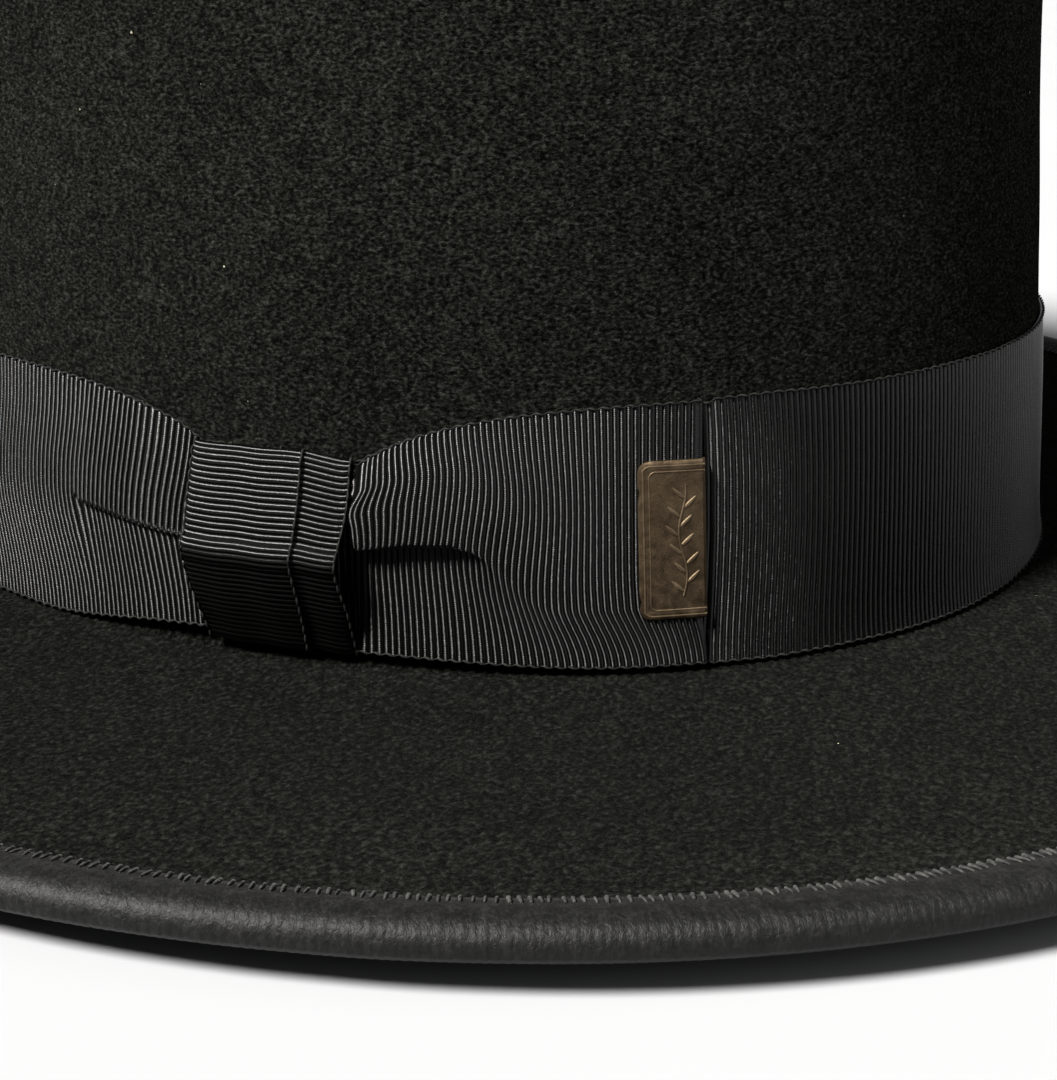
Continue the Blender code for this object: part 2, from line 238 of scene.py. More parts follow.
class Parts:
    """Collects vertices, faces, UVs and material indices of one mesh."""

    def __init__(self):
        self.points, self.faces, self.uvs, self.slots, self.count = [], [], [], [], 0

    def add(self, points, faces, uv, slot=0):
        self.points.append(points.reshape(-1, 3))
        self.faces.append(faces + self.count)
        self.uvs.append(uv.reshape(-1, 2))
        self.slots.append(np.broadcast_to(slot, len(faces)))
        self.count += points.reshape(-1, 3).shape[0]

    def build(self, name, materials, smooth_angle):
        mesh = bpy.data.meshes.new(name)
        points = np.concatenate(self.points) * MM
        faces = np.concatenate(self.faces)
        mesh.vertices.add(len(points))
        mesh.vertices.foreach_set("co", points.astype(np.float32).ravel())
        mesh.loops.add(faces.size)
        mesh.loops.foreach_set("vertex_index", faces.astype(np.int32).ravel())
        mesh.polygons.add(len(faces))
        mesh.polygons.foreach_set("loop_start", np.arange(0, faces.size, 4, dtype=np.int32))
        mesh.polygons.foreach_set("material_index", np.concatenate(self.slots).astype(np.int32))
        mesh.update(calc_edges=True)
        corner_uvs = np.concatenate(self.uvs)[faces.ravel()].astype(np.float32)
        mesh.uv_layers.new(name="cloth").data.foreach_set("uv", corner_uvs.ravel())
        for material in materials:
            mesh.materials.append(material)
        mesh.polygons.foreach_set("use_smooth", np.ones(len(faces), bool))
        mesh.validate()
        if smooth_angle < 180:
            mesh.set_sharp_from_angle(angle=math.radians(smooth_angle))
        return link(name, mesh)


def grid_faces(rows, columns, wrap_rows=False, wrap_columns=False, flip=False):
    """Quads of a grid of vertices, numbered row by row."""
    i = np.arange(rows if wrap_rows else rows - 1)
    j = np.arange(columns if wrap_columns else columns - 1)
    i, j = (a.ravel() for a in np.meshgrid(i, j, indexing="ij"))
    i2, j2 = (i + 1) % rows, (j + 1) % columns
    quads = np.stack([i * columns + j, i2 * columns + j, i2 * columns + j2, i * columns + j2], -1)
    return quads[:, ::-1] if flip else quads


def grid_normals(points, wrap_rows=False):
    """Unit normals of a grid of points (rows, columns, 3)."""
    if wrap_rows:
        along = np.roll(points, -1, 0) - np.roll(points, 1, 0)
    else:
        along = np.gradient(points, axis=0)
    across = np.gradient(points, axis=1)
    normals = np.cross(along, across)
    return normals / np.maximum(np.linalg.norm(normals, axis=-1, keepdims=True), 1e-9)


def painted_shade_slots(u, pitch, valley, columns):
    """Material slots of a ribbed face's quads: 2, painted shade, in the valleys between ribs, 0
    elsewhere.
    """
    middle = (np.asarray(u)[1:] + np.asarray(u)[:-1]) / 2 / pitch % 1.0
    return np.repeat(np.where(np.minimum(middle, 1 - middle) < valley, 2, 0), columns - 1)


def cloth_uv(along, across):
    """UVs from millimetres along and across a piece."""
    return np.stack(np.broadcast_arrays(along, across), -1) * 0.01


def shell_faces(rows, columns, wrap=False):
    """Quads of a closed plate: its outer grid, its inner grid and its edges."""
    half = rows * columns
    faces = [grid_faces(rows, columns, wrap_rows=wrap)]
    faces.append(grid_faces(rows, columns, wrap_rows=wrap, flip=True) + half)
    i = np.arange(rows if wrap else rows - 1)
    i2 = (i + 1) % rows
    low, low2, high, high2 = (k * columns + c for c in (0, columns - 1) for k in (i, i2))
    faces.append(np.stack([low, half + low, half + low2, low2], -1))
    faces.append(np.stack([high, high2, half + high2, half + high], -1))
    if not wrap:
        j = np.arange(columns - 1)
        end = (rows - 1) * columns + j
        faces.append(np.stack([j, j + 1, half + j + 1, half + j], -1))
        faces.append(np.stack([end, half + end, half + end + 1, end + 1], -1))
    return np.concatenate(faces)


def add_sheet(parts, face, u, v, relief, thickness, wrap=False, slots=0):
    """A closed sheet of cloth. face is its outer face (along, across, 3), and relief its ribs."""
    normals = grid_normals(face, wrap)
    outer = face + normals * np.asarray(relief)[..., None]
    inner = face - normals * thickness
    uv = np.broadcast_to(cloth_uv(u, v), face.shape[:2] + (2,))
    faces = shell_faces(*face.shape[:2], wrap)
    used = np.zeros(len(faces), int)
    used[: np.size(slots)] = slots
    parts.add(np.stack([outer, inner]), faces, np.stack([uv, uv]), used)


def add_plate(parts, top, bottom):
    """A closed plate between two grids of points (rows, columns, 3)."""
    uv = np.zeros((2,) + top.shape[:2] + (2,))
    parts.add(np.stack([top, bottom]), shell_faces(*top.shape[:2]), uv)


def add_tube(parts, path, radius, sides=6, wrap=False, slot=0, flatten=1.0, up=(0, 0, 1)):
    """A round cord along a path (n, 3). Its ends are closed."""
    path = np.asarray(path, float)
    along = np.roll(path, -1, 0) - np.roll(path, 1, 0) if wrap else np.gradient(path, axis=0)
    along /= np.maximum(np.linalg.norm(along, axis=1, keepdims=True), 1e-9)
    side = np.cross(along, np.asarray(up, float))
    weak = np.linalg.norm(side, axis=1, keepdims=True) < 1e-3
    side = np.where(weak, np.cross(along, (1.0, 0.2, 0.0)), side)
    side /= np.linalg.norm(side, axis=1, keepdims=True)
    lift = np.cross(side, along)
    angles = np.arange(sides) * math.tau / sides
    radius = np.broadcast_to(np.asarray(radius, float), len(path))[:, None, None]
    across, above = np.cos(angles)[:, None], np.sin(angles)[:, None] * flatten
    points = path[:, None] + (side[:, None] * across + lift[:, None] * above) * radius
    length = distances(path)
    uv = cloth_uv(length[:, None], angles * 0.1)
    faces = [grid_faces(len(path), sides, wrap_rows=wrap, wrap_columns=True, flip=True)]
    if not wrap:
        for row, turned in ((0, False), (len(path) - 1, True)):
            for k in range(0, sides - 2, 2):
                quad = [row * sides + j for j in (0, k + 1, k + 2, min(k + 3, sides - 1))]
                if quad[2] != quad[3]:
                    faces.append(np.array([quad[::-1] if turned else quad]))
    parts.add(points, np.concatenate(faces), uv, slot)


def rib_relief(u, pitch=RIB, steep=RIB_TURN):
    """Height of the ribs at distances along a ribbon: round cords that meet in sharp valleys."""
    across = (np.asarray(u, float) / pitch) % 1.0 - 0.5
    radius = pitch / 2 / math.sin(steep)
    return np.sqrt(radius**2 - (across * pitch) ** 2) - radius * math.cos(steep)


def ribbed(u, columns, edge=0.6, pitch=RIB, steep=RIB_TURN):
    """Relief of a ribbon's face. The ribs are lower at its edges."""
    strength = np.ones(columns)
    strength[[0, -1]] = edge
    return rib_relief(u, pitch, steep)[:, None] * strength


def rib_stations(start, end, pitch=RIB, valley=VALLEY_SHARE):
    """Places to sample a ribbed stretch: the valley, both flanks and the crest of each rib."""
    within = np.array([0.0, valley * 0.3, valley, 0.32, 0.5, 0.68, 1 - valley, 1 - valley * 0.3])
    first, last = math.floor(start / pitch), math.ceil(end / pitch)
    stations = ((np.arange(first, last)[:, None] + within).ravel()) * pitch
    inside = (stations > start + 1e-6) & (stations < end - 1e-6)
    return np.concatenate([[start], stations[inside], [end]])


def wander(values, seed, size=1.0, wave=20.0):
    """Slow, repeatable irregularity along a ribbon."""
    local = np.random.default_rng(seed)
    values = np.asarray(values, float)
    total = np.zeros_like(values)
    for k in range(1, 6):
        phase = local.uniform(0, math.tau)
        total += math.pow(k, -0.8) * np.sin(math.tau * values * k / wave / 2.3 + phase)
    return size * total / 2.2


# Materials


class Nodes:
    """Short way to write the nodes of a material or a world."""

    def __init__(self, name, kind=bpy.data.materials, shader="Principled BSDF"):
        self.owner = kind.new(name)
        self.owner.use_nodes = True
        self.tree = self.owner.node_tree
        self.shader = self.tree.nodes[shader]

    def new(self, kind, inputs=None, **settings):
        node = self.tree.nodes.new(kind)
        for key, value in settings.items():
            setattr(node, key, value)
        for key, value in (inputs or {}).items():
            self.feed(node.inputs[key], value)
        return node

    def feed(self, socket, value):
        if socket.type == "RGBA" and isinstance(value, tuple):
            value = (*value, 1.0)
        if hasattr(value, "links"):
            self.tree.links.new(value, socket)
        elif hasattr(value, "outputs"):
            self.tree.links.new(value.outputs[0], socket)
        else:
            socket.default_value = value

    def math(self, operation, a, b=0.0):
        return self.new("ShaderNodeMath", {0: a, 1: b}, operation=operation).outputs[0]

    def times(self, a, b):
        return self.math("MULTIPLY", a, b)

    def blend(self, *pairs):
        """Sum of values, each with its weight."""
        total = None
        for value, weight in pairs:
            term = value if weight == 1 else self.times(value, weight)
            total = term if total is None else self.math("ADD", total, term)
        return total

    def split(self, vector):
        return self.new("ShaderNodeSeparateXYZ", {0: vector}).outputs

    def noise(self, vector, scale, detail=2.0, roughness=0.5, distortion=0.0):
        names = ("Vector", "Scale", "Detail", "Roughness", "Distortion")
        inputs = dict(zip(names, (vector, scale, detail, roughness, distortion)))
        return self.new("ShaderNodeTexNoise", inputs).outputs["Fac"]

    def spread(self, value, low, high, to_low=0.0, to_high=1.0):
        names = ("Value", "From Min", "From Max", "To Min", "To Max")
        inputs = dict(zip(names, (value, low, high, to_low, to_high)))
        return self.new("ShaderNodeMapRange", inputs).outputs[0]

    def colours(self, value, *stops):
        """A ramp of positions and colours. A grey is given as one number."""
        ramp = self.new("ShaderNodeValToRGB", {"Fac": value})
        elements = ramp.color_ramp.elements
        while len(elements) < len(stops):
            elements.new(0.5)
        for element, (position, colour) in zip(elements, stops):
            colour = (colour,) * 3 if isinstance(colour, float) else colour
            element.position, element.color = position, (*colour, 1.0)
        return ramp.outputs["Color"]

    def mixed(self, share, a, b, blend_type="MIX"):
        node = self.new("ShaderNodeMix", {"Factor": share}, data_type="RGBA", blend_type=blend_type)
        for socket, value in zip([s for s in node.inputs if s.type == "RGBA"], (a, b)):
            self.feed(socket, value)
        return [s for s in node.outputs if s.type == "RGBA"][0]

    def scaled(self, vector, scale):
        return self.new("ShaderNodeMapping", {"Vector": vector, "Scale": scale}).outputs[0]

    def tinted(self, colour, factor):
        inputs = {0: colour, 1: factor}
        return self.new("ShaderNodeVectorMath", inputs, operation="MULTIPLY").outputs[0]

    def bump(self, height, distance, strength=1.0):
        inputs = {"Height": height, "Distance": distance, "Strength": strength}
        return self.new("ShaderNodeBump", inputs).outputs[0]

    def finish(self, **inputs):
        for key, value in inputs.items():
            self.feed(self.shader.inputs[key.replace("_", " ")], value)
        return self.owner

    @property
    def uv(self):
        """The cloth's own coordinates in millimetres: along, across."""
        return self.scaled(self.new("ShaderNodeUVMap", uv_map="cloth").outputs[0], (100, 100, 100))

    @property
    def place(self):
        """Coordinates of the hat in millimetres."""
        return self.scaled(self.new("ShaderNodeTexCoord").outputs["Object"], (1000, 1000, 1000))


def felt_material():
    """Brushed black fur felt: soft mottled nap, a faint sheen and a few specks of lint, with
    painted shade on the brim and painted light brightening up the crown.
    """
    n = Nodes("felt")
    x, y, above = n.split(n.place)
    swept = n.times(x, n.spread(above, 8.0, 20.0, 0.8, 1.0))
    brushed = n.new("ShaderNodeCombineXYZ", {0: swept, 1: y, 2: n.times(above, 1.6)})
    nap = n.noise(brushed, 1.55, 3.0, 0.6, 0.3)
    tufts = n.noise(n.place, 0.55, 3.0, 0.55, 0.4)
    patches = n.noise(n.place, 0.05, 3.0, 0.55)
    fibre = n.noise(n.scaled(n.place, (1.0, 1.0, 2.6)), 3.2, 2.0, 0.7, 1.2)
    colour = n.colours(
        n.blend((nap, 0.80), (tufts, 0.13), (patches, 0.07)),
        (0.34, (0.00030, 0.00030, 0.00025)),
        (0.42, (0.0014, 0.0014, 0.0012)),
        (0.50, (0.0043, 0.0044, 0.0037)),
        (0.58, (0.0106, 0.0108, 0.0092)),
        (0.68, (0.0255, 0.0258, 0.0222)),
    )
    cells = n.new("ShaderNodeTexVoronoi", {"Vector": n.place, "Scale": 0.16, "Randomness": 1.0})
    chance = n.new("ShaderNodeSeparateColor", {0: cells.outputs["Color"]}).outputs[0]
    speck = n.math("LESS_THAN", cells.outputs["Distance"], 0.028)
    speck = n.times(speck, n.math("GREATER_THAN", chance, 0.72))
    # Painted shade: the felt's colour is darkened below about 12 mm high, on the upward-facing
    # brim, to offset the light that falls on it
    brim = n.spread(above, 3.0, 12.0, 0.39, 0.85)
    # Painted light: the felt's colour brightens with height up the crown
    painted_light_by_height = n.spread(above, 42.0, 110.0, 1.0, 1.3)
    colour = n.mixed(speck, n.tinted(colour, n.times(brim, painted_light_by_height)), (0.25, 0.23, 0.17))
    bump = n.bump(n.blend((nap, 0.6), (fibre, 0.5), (tufts, 0.5)), 0.0006, 0.8)
    n.finish(Base_Color=colour, Normal=bump, Roughness=0.95, Specular_IOR_Level=0.0)
    return n.finish(Sheen_Weight=0.008, Sheen_Roughness=0.5, Sheen_Tint=(0.86, 0.88, 0.80))


def ribbon_material():
    """Black grosgrain. The ribs are in the mesh, and the warp threads over them are here.

    The threads bend round each rib, so its highlight is a fine line along it.
    """
    n = Nodes("ribbon")
    jitter = n.noise(n.scaled(n.uv, (1.2, 0.4, 1.0)), 1.0)
    across = n.blend((n.split(n.uv)[1], 1), (jitter, 0.25))
    threads = n.math("SINE", n.times(across, math.tau / THREAD_PITCH))
    beads = n.noise(n.scaled(n.uv, (1.1, 4.2, 1.0)), 1.0, 2.0, 0.6)
    bump = n.bump(n.blend((threads, 0.35), (beads, 1.6)), 0.00006, 0.7)
    wear_and_painted_light = n.noise(n.place, 0.09, 3.0, 0.6)
    tone = n.blend((wear_and_painted_light, 0.5), (beads, 0.5))
    colour = n.colours(tone, (0.35, 0.0004), (0.65, (0.0013, 0.0013, 0.0012)))
    rough = n.spread(beads, 0.3, 0.7, 0.33, 0.44)
    n.finish(Base_Color=colour, Normal=bump, Roughness=rough, Specular_IOR_Level=0.34)
    tangent = n.new("ShaderNodeTangent", direction_type="UV_MAP", uv_map="cloth")
    return n.finish(Anisotropic=1.0, Anisotropic_Rotation=0.25, Tangent=tangent)


def binding_material():
    """Softer, older-looking ribbon on the brim's edge, with painted light towards its upper
    selvedge.
    """
    n = Nodes("binding_ribbon")
    # Painted light: the binding's colour brightens towards its upward-facing top by the upper
    # selvedge
    wear_and_painted_light = n.spread(n.split(n.uv)[1], 10.5, 16.0, 1.0, 1.7)
    fuzz = n.noise(n.scaled(n.uv, (2.4, 1.5, 1.0)), 1.0, 3.0, 0.65, 0.6)
    broad = n.noise(n.scaled(n.uv, (0.5, 0.45, 1.0)), 1.0)
    colour = n.colours(
        n.blend((fuzz, 0.6), (broad, 0.4)),
        (0.34, (0.0008, 0.0008, 0.0007)),
        (0.50, (0.0026, 0.0026, 0.0024)),
        (0.68, (0.0080, 0.0079, 0.0072)),
    )
    bump = n.bump(n.blend((fuzz, 1), (broad, 1)), 0.00022, 0.7)
    n.finish(Base_Color=n.tinted(colour, wear_and_painted_light), Normal=bump)
    n.finish(Roughness=0.56, Specular_IOR_Level=0.15)
    return n.finish(Sheen_Weight=0.01, Sheen_Roughness=0.4, Sheen_Tint=(0.9, 0.88, 0.82))


def brass_material(name, low, high, roughness):
    """Dark antique brass with cloudy patina and fine scratches."""
    n = Nodes(name)
    patina = n.noise(n.place, 0.55, 4.0, 0.62, 0.5)
    grain = n.noise(n.place, 5.5, 3.0, 0.6)
    scratches = n.noise(n.scaled(n.place, (2.0, 2.0, 9.0)), 1.3)
    colour = n.colours(n.blend((patina, 0.6), (grain, 0.4)), (0.34, low), (0.66, high))
    uneven = n.blend((patina, 1), (scratches, 1))
    rough = n.spread(uneven, 0.7, 1.3, roughness - 0.08, roughness + 0.12)
    bump = n.bump(n.blend((grain, 1), (scratches, 0.5)), 0.00005, 0.6)
    return n.finish(Base_Color=colour, Roughness=rough, Metallic=1.0, Normal=bump)


def leather_material():
    """Dark brown sweatband leather with a fine pebbled grain."""
    n = Nodes("leather")
    inputs = {"Vector": n.place, "Scale": 1.5}
    cells = n.new("ShaderNodeTexVoronoi", inputs, feature="DISTANCE_TO_EDGE")
    tone = n.noise(n.place, 0.12, 4.0, 0.6)
    grain = n.noise(n.place, 2.4, 3.0, 0.6)
    colour = n.colours(tone, (0.35, (0.022, 0.011, 0.006)), (0.68, (0.052, 0.027, 0.015)))
    creases = n.spread(cells.outputs["Distance"], 0.0, 0.12)
    rough = n.spread(grain, 0.3, 0.7, 0.42, 0.6)
    bump = n.bump(n.blend((creases, 0.8), (grain, 0.4)), 0.00008, 0.7)
    return n.finish(Base_Color=colour, Roughness=rough, Normal=bump)


def cloth_material(name, dark, light, pitch, roughness, sheen, twill=True):
    """Fine woven cloth. Satin shows long floats, and tape a plain weave."""
    n = Nodes(name)
    x, y = (n.times(axis, math.tau / pitch) for axis in n.split(n.uv)[:2])
    if twill:
        weave = n.math("SINE", n.blend((x, 1), (y, 0.45)))
    else:
        weave = n.times(n.math("SINE", x), n.math("SINE", y))
    slub = n.noise(n.scaled(n.uv, (0.5, 2.5, 1.0)), 1.0, 3.0, 0.6)
    colour = n.colours(n.blend((weave, 0.18), (slub, 1)), (0.3, dark), (0.75, light))
    bump = n.bump(n.blend((weave, 1), (slub, 1)), 0.00005, 0.6)
    return n.finish(Base_Color=colour, Roughness=roughness, Normal=bump, Sheen_Weight=sheen)


def plain_material(name, dark, light, roughness, shine=0.5):
    """Matte stuff with slight mottling, for the ticket, reed, thread and the painted shade in the
    ribs' valleys.
    """
    n = Nodes(name)
    tone = n.noise(n.place, 0.8, 4.0, 0.6)
    colour = n.colours(tone, (0.35, dark), (0.7, light))
    n.finish(Base_Color=colour, Roughness=roughness, Normal=n.bump(tone, 0.00003, 0.5))
    return n.finish(Specular_IOR_Level=shine)


FELT_LOOK = felt_material()
RIBBON = ribbon_material()
EDGE_RIBBON = binding_material()
BRASS = brass_material("antique_brass", (0.056, 0.039, 0.023), (0.140, 0.100, 0.062), 0.50)
WORN_BRASS = brass_material("worn_brass", (0.080, 0.058, 0.036), (0.145, 0.108, 0.068), 0.66)
LEATHER = leather_material()
SATIN = cloth_material("satin", (0.006, 0.006, 0.007), (0.020, 0.020, 0.022), 0.35, 0.32, 0.2)
TAPE = cloth_material("cotton_tape", 0.012, (0.035, 0.034, 0.032), 0.5, 0.9, 0.1, False)
REED = plain_material("reed_plastic", (0.40, 0.37, 0.30), (0.55, 0.52, 0.44), 0.4)
PAPER = plain_material("paper", (0.62, 0.58, 0.49), (0.78, 0.74, 0.66), 0.9)
# Painted shade: a near-black, barely shiny material put in the valleys between the ribs
PAINTED_VALLEY_SHADE = plain_material("ribbon_valley", 0.0002, 0.0007, 0.7, 0.04)
THREAD = plain_material("black_thread", 0.002, (0.009, 0.009, 0.008), 0.75, 0.12)
EDGE_THREAD = plain_material("binding_thread", 0.010, (0.040, 0.040, 0.037), 0.8, 0.15)


def settle(piece, slot, *nodes):
    """Puts a finished piece on the hat's one body."""
    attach(piece, "root")
    if nodes:
        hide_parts(*nodes)
    return piece


# Felt body


def felt_profile():
    """The felt's section from the middle of the tip, over the crown and brim, and back inside."""
    wall = np.concatenate([np.linspace(SHOULDER_HIGH - 1.5, 44, 60), np.linspace(42, 4.2, 26)])
    outside = np.stack([-crown_inset(wall), wall], -1)
    reach = np.concatenate([np.linspace(2.4, 56, 60), np.linspace(57, BEAD, 9)])
    top = np.stack([reach, brim_high(reach)], -1)
    back = reach[::-1][:-1:2]
    under = np.stack([back, brim_low(back)], -1)
    fillet = turn(1.7, 4.1, 1.75, 178, 262, 6)
    bead = turn(BEAD, BEAD_HEIGHT, BRIM_EDGE / 2, 84, -84, 10)
    inner_wall = wall[::-2]
    inside = np.stack([-FELT - crown_inset(inner_wall), inner_wall], -1)
    lip = np.array([(0.6, 0.0), (-0.6, 0.15), (-1.5, 0.75), (-FELT, 2.2)])
    shoulder = turn(SHOULDER_IN, SHOULDER_HIGH, CROWN_EDGE, 90, 1, 14)
    shoulder_inside = turn(SHOULDER_IN, SHOULDER_HIGH, CROWN_EDGE - FELT, 1, 90, 7)
    return [shoulder, outside, fillet, top, bead, under, lip, inside, shoulder_inside]


def make_felt():
    """Crown and brim in one closed mesh, with the slight unevenness of hand-blocked felt."""
    columns = 421
    profile = np.concatenate(felt_profile())
    angles = math.pi / 2 + np.linspace(0, math.tau, columns)
    radial, z = profile[:, 0][None], profile[:, 1][None]
    points = place(angles[:, None], radial, z)
    length = distances(profile)
    free_brim = between(radial, 12, 30) * (1 - between(radial, 50, 60))
    crown = between(z, 44, 70) * (1 - between(z, 134, 141)) * (radial < 2)
    wave = 0.30 * np.sin(3 * angles + 0.7) + 0.22 * np.sin(5 * angles + 2.0)
    points[..., 2] += free_brim * wave[:, None] * 0.8
    dent = 0.25 * np.sin(4 * angles + 1.1)[:, None] * np.sin(z * 0.06)
    dent = dent + 0.15 * np.sin(7 * angles[:, None] + z * 0.05)
    outward = np.stack([np.cos(angles), np.sin(angles)], -1)[:, None]
    points[..., :2] += outward * (crown * dent)[..., None]
    parts = Parts()
    uv = cloth_uv((angles / math.tau * PERIMETER)[:, None], length)
    parts.add(points, grid_faces(columns, len(profile), flip=True), uv)
    shares = np.linspace(1, 0.0, 26)[:, None, None]
    for ring, flip in ((points[:, 0], True), (points[:, -1], False)):
        cap = ring[None] * (1, 1, 0) * shares + (0, 0, ring[0, 2])
        parts.add(cap, grid_faces(26, columns, flip=flip), cap[..., :2] * 0.01)
    piece = parts.build("felt_crown_and_brim", [FELT_LOOK], 180)
    join_points(piece)
    return settle(piece, "felt", "felt_body")


def join_points(piece, distance=0.00002):
    """Welds the seams of a mesh that was made of several grids."""
    mesh = bmesh.new()
    mesh.from_mesh(piece.data)
    bmesh.ops.remove_doubles(mesh, verts=mesh.verts, dist=distance)
    mesh.to_mesh(piece.data)
    mesh.free()


# Grosgrain band, binding and bow


def add_selvedges(parts, face, last=None, proud=0.1, radius=0.15, pitch=RIB):
    """The weft's turning loops along a ribbon's two edges, one to every two ribs."""
    outward = grid_normals(face)
    for side in (0, -1):
        edge, out = (face[:, side] + outward[:, side] * proud)[:last], outward[:last, side]
        length = distances(edge)
        at = np.linspace(0, length[-1], max(int(length[-1] / (pitch / 3)), 4))
        swing, surge = np.sin(math.pi * at / pitch), np.cos(math.pi * at / pitch)
        line = read_at(at, length, edge) + read_at(at, length, out) * (0.10 * swing + 0.05)[:, None]
        line[:, 2] += 0.13 * surge
        add_tube(parts, line, radius * (1 + 0.35 * swing), sides=5, slot=1)


def settle_ribbon(parts, name, node):
    """Makes a ribbon's piece: ribs, threads of the selvedges and painted shade in the valleys."""
    return settle(parts.build(name, [RIBBON, THREAD, PAINTED_VALLEY_SHADE], SHARP), "ribbon", node)


def bow_reach(s):
    """Distance along the oval from the knot."""
    return np.clip(np.maximum(KNOT_FRONT - wrapped(s), wrapped(s) - KNOT_BACK), 0, None)


def foot_flare(z, amount=1.0):
    """Ribbon near the brim follows the curve from crown to brim."""
    return amount * np.exp(-np.clip(np.asarray(z, float) - BAND_LOW, 0, None) / 3.2)


def make_band():
    """Grosgrain band round the foot of the crown, its ends gathered under the knot."""
    start = (KNOT_FRONT + KNOT_BACK) / 2
    u = rib_stations(0, PERIMETER - 0.2, valley=BAND_VALLEY_SHARE)
    s = start + 0.1 + u[:, None]
    gather = np.exp(-bow_reach(s) / 13.0)
    behind = between(bow_reach(s), 48, 44)
    high = BAND_HIGH - 8.0 * gather - 1.0 * behind
    low = BAND_LOW + 2.6 * gather + 0.3 * behind
    across = np.array([0, 0.06, 0.15, 0.30, 0.5, 0.7, 0.88, 1.0])
    z = mix(low, high, across)
    s = s + peak(s, 84, 14) * 0.75 * np.sin(math.pi * across) + 0.12 * np.sin(s / 17 + 3 * across)
    off = 0.55 + 0.06 * np.sin(s / 23) * np.sin(math.pi * across) + foot_flare(z, 0.8)
    z = z + 0.12 * wander(u, 3)[:, None] * (2 * across - 1)
    face = on_crown(s, off, z)
    relief = ribbed(u, len(across))
    height = BAND_HIGH - BAND_LOW
    parts = Parts()
    slots = painted_shade_slots(u, RIB, BAND_VALLEY_SHARE, len(across))
    add_sheet(parts, face, u[:, None], across * height, relief, 0.2, slots=slots)
    add_selvedges(parts, face)
    piece = settle_ribbon(parts, "hat_band_grosgrain", "hat_band")


def binding_lift(radial):
    """The binding rises off the felt from its selvedge towards the padded edge."""
    return 0.4 * between(radial, BINDING_INNER, 61.0)


def make_binding():
    """Ribbon folded over the brim's edge, with soft ribs across it."""
    over = np.linspace(BINDING_INNER, BEAD - 0.6, 7)
    top = np.stack([over, brim_high(over) + 0.18 + binding_lift(over)], -1)
    arc = turn(BEAD, BEAD_HEIGHT, BEAD_RADIUS, 84, -84, 12)
    back = np.linspace(BEAD - 0.6, BINDING_INNER + 0.3, 4)
    low = np.stack([back, brim_low(back) - 0.18 - 0.35 * between(back, 57.9, 61.5)], -1)
    section = respaced(np.concatenate([top, arc, low]), 17)[::-1]
    across = distances(section)
    ring = np.linspace(0, math.tau, 4000)
    edge = place(ring, BEAD + BEAD_RADIUS, 0.0)
    lengths = distances(edge)
    total = lengths[-1]
    ribs = int(total / EDGE_RIB)
    pitch = total / ribs
    u = (np.arange(ribs)[:, None] + (0.0, 0.2, 0.5, 0.8)).ravel() * pitch
    angle = np.interp(u, lengths, ring) + math.pi / 2
    face = place(angle[:, None], section[None, :, 0], section[None, :, 1])
    from_top = across[-1] - across
    strength = 0.15 * between(from_top, 1.8, 6.0) + 0.05
    relief = rib_relief(u, pitch)[:, None] * strength[None]
    relief = relief + 0.04 * wander(u, 5, wave=31)[:, None] * between(from_top, 0, 2)[None]
    normals = grid_normals(face, True)
    inner = (face - normals * 0.12)[:, ::4][:, ::-1]
    points = np.concatenate([face + normals * relief[..., None], inner], 1)
    inner_across = across[::4][::-1]
    uv = cloth_uv(u[:, None], np.concatenate([across, inner_across]))
    parts = Parts()
    parts.add(points, grid_faces(*points.shape[:2], wrap_rows=True, wrap_columns=True), uv)
    piece = settle(parts.build("brim_edge_binding", [EDGE_RIBBON], 180), "ribbon", "brim_binding")
    make_binding_selvedge(lengths, ring)


def make_binding_selvedge(lengths, ring):
    """Loose, slightly ragged threads along the binding's upper selvedge."""
    loose = np.random.default_rng(11)
    strokes = Parts()
    t = np.linspace(0, 1, 6)
    for k in range(int(lengths[-1] / STROKE_PITCH)):
        reach = loose.uniform(1.5, 2.3)
        at = np.interp((k + loose.uniform(-0.22, 0.22)) * STROKE_PITCH, lengths, ring)
        lean = loose.uniform(-0.3, 0.3) / 155
        radial = BINDING_INNER - 0.15 * loose.random() + reach * t
        path = place(at + math.pi / 2 + lean * t, radial, 0)
        path[:, 2] = brim_high(radial) + 0.20 + binding_lift(radial) + 0.16 * np.sin(math.pi * t)
        add_tube(strokes, path, loose.uniform(0.17, 0.29) * (1 - 0.45 * t), 6, flatten=0.8)
    settle(strokes.build("binding_selvedge", [EDGE_THREAD], 180), "ribbon")


def rear_section(u):
    """The rear loop's edges, pleat and fullness at a distance from the knot."""
    length = np.clip(u, 0, None)
    top = BAND_HIGH + 0.1 - 8.8 * np.exp(-length / 14.0)
    bottom = 4.75 - 1.2 * between(u, 0, 34)
    lip = 19.5 + 1.1 * between(u, 0, 9) - 9.3 * between(u, 13, 27.5)
    depth = (1 - between(u, 12.5, 20.0)) * between(u, -4, 1.5)
    bulge = 2.3 * (1 - between(u, 4, 42))
    return top, bottom, lip, depth, bulge


def front_section(u):
    """The same for the front loop, whose pleat is nearly closed."""
    length = np.clip(u, 0, None)
    top = BAND_HIGH + 0.1 - 7.6 * np.exp(-length / 10.5)
    bottom = 5.6 - 2.7 * between(u, 0, 30)
    lip = 18.3 + 2.2 * between(u, 0, 20)
    depth = (1 - between(u, 17.0, 20.5)) * between(u, -4, 1.5)
    bulge = 1.0 * (1 - between(u, 12, 42))
    return top, bottom, lip, depth, bulge


